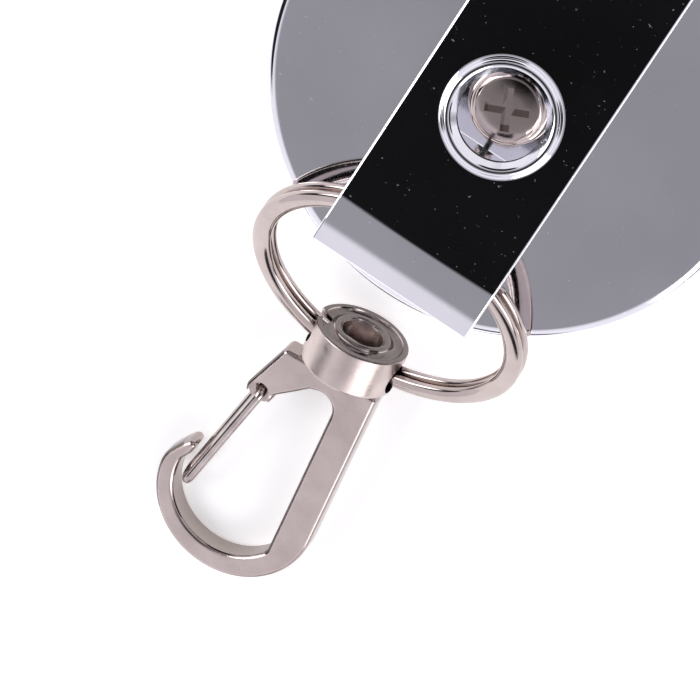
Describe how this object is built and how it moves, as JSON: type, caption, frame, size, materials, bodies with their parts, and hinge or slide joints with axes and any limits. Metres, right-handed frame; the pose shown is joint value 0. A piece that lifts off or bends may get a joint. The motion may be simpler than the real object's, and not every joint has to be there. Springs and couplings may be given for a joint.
{
  "type": "retractable badge reel",
  "caption": "Round chrome retractable badge reel with a belt clip, a split ring and a swivel hook with a sprung wire gate.",
  "frame": {"origin": "centre of the case's flat front face, on which the reel lies", "axes": "+Z along the case's axis, out of its back; +Y towards the belt clip's bend; the ring and hook lie towards -Y"},
  "size_m": [0.04, 0.0746, 0.0215],
  "materials": {
    "chrome": "polished chrome plate",
    "nickel": "polished to satin nickel plate",
    "steel": "drawn spring steel, nickel plated where it shows",
    "plastic": "moulded acetal",
    "cord": "braided nylon"
  },
  "bodies": {
    "case": {"front_shell": "chrome", "back_shell": "chrome", "outlet_eyelet": "nickel", "center_post": "steel", "power_spring": "steel", "cord_lead": "cord", "clip_base": "chrome", "screw_washer": "nickel", "clip_screw": "nickel"},
    "spool": {"spool": "plastic", "spring_cover": "plastic", "wound_cord": "cord"},
    "cord_end": {"cord_loop": "cord", "cord_crimp": "nickel"},
    "ring": {"split_ring": "nickel"},
    "head": {"swivel_barrel": "nickel"},
    "hook": {"hook_body": "nickel", "swivel_pin": "nickel"},
    "gate": {"hook_gate": "steel"},
    "clip": {"clip_tongue": "chrome"}
  },
  "joints": [
    {"name": "cord_pull", "type": "slide", "parent": "case", "child": "cord_end", "axis": [0, -1, 0], "range_m": [0, 0.6], "stiffness_N_per_m": 1.5, "springref_m": -0.6},
    {"name": "spool_spin", "type": "hinge", "parent": "case", "child": "spool", "pos_m": [0, 0, 0.01], "axis": [0, 0, 1], "range_deg": [-6000, 0]},
    {"name": "ring_swing", "type": "hinge", "parent": "cord_end", "child": "ring", "pos_m": [0.0003, -0.01138, 0.01875], "axis": [-1, 0, 0], "range_deg": [0, 55]},
    {"name": "head_tilt", "type": "hinge", "parent": "ring", "child": "head", "pos_m": [0.00056, -0.02942, 0.00465], "axis": [-0.9997, -0.0179, -0.014], "range_deg": [-30, 45]},
    {"name": "hook_swivel", "type": "hinge", "parent": "head", "child": "hook", "pos_m": [0.00084, -0.03159, 0.0044], "axis": [0.1271, -0.9854, -0.1132], "continuous": true},
    {"name": "gate_swing", "type": "hinge", "parent": "hook", "child": "gate", "pos_m": [-0.00419, -0.03699, 0.00337], "axis": [-0.072, -0.123, 0.9898], "range_deg": [0, 25], "stiffness_Nm_per_rad": 0.02, "springref_deg": -17.19},
    {"name": "clip_flex", "type": "hinge", "parent": "case", "child": "clip", "pos_m": [0, 0.015, 0.0151], "axis": [-1, 0, 0], "range_deg": [0, 8], "stiffness_Nm_per_rad": 0.6, "springref_deg": -5.73}
  ],
  "couplings": [
    {"joint": "spool_spin", "follows": "cord_pull", "rad_per_m": -173.9}
  ]
}
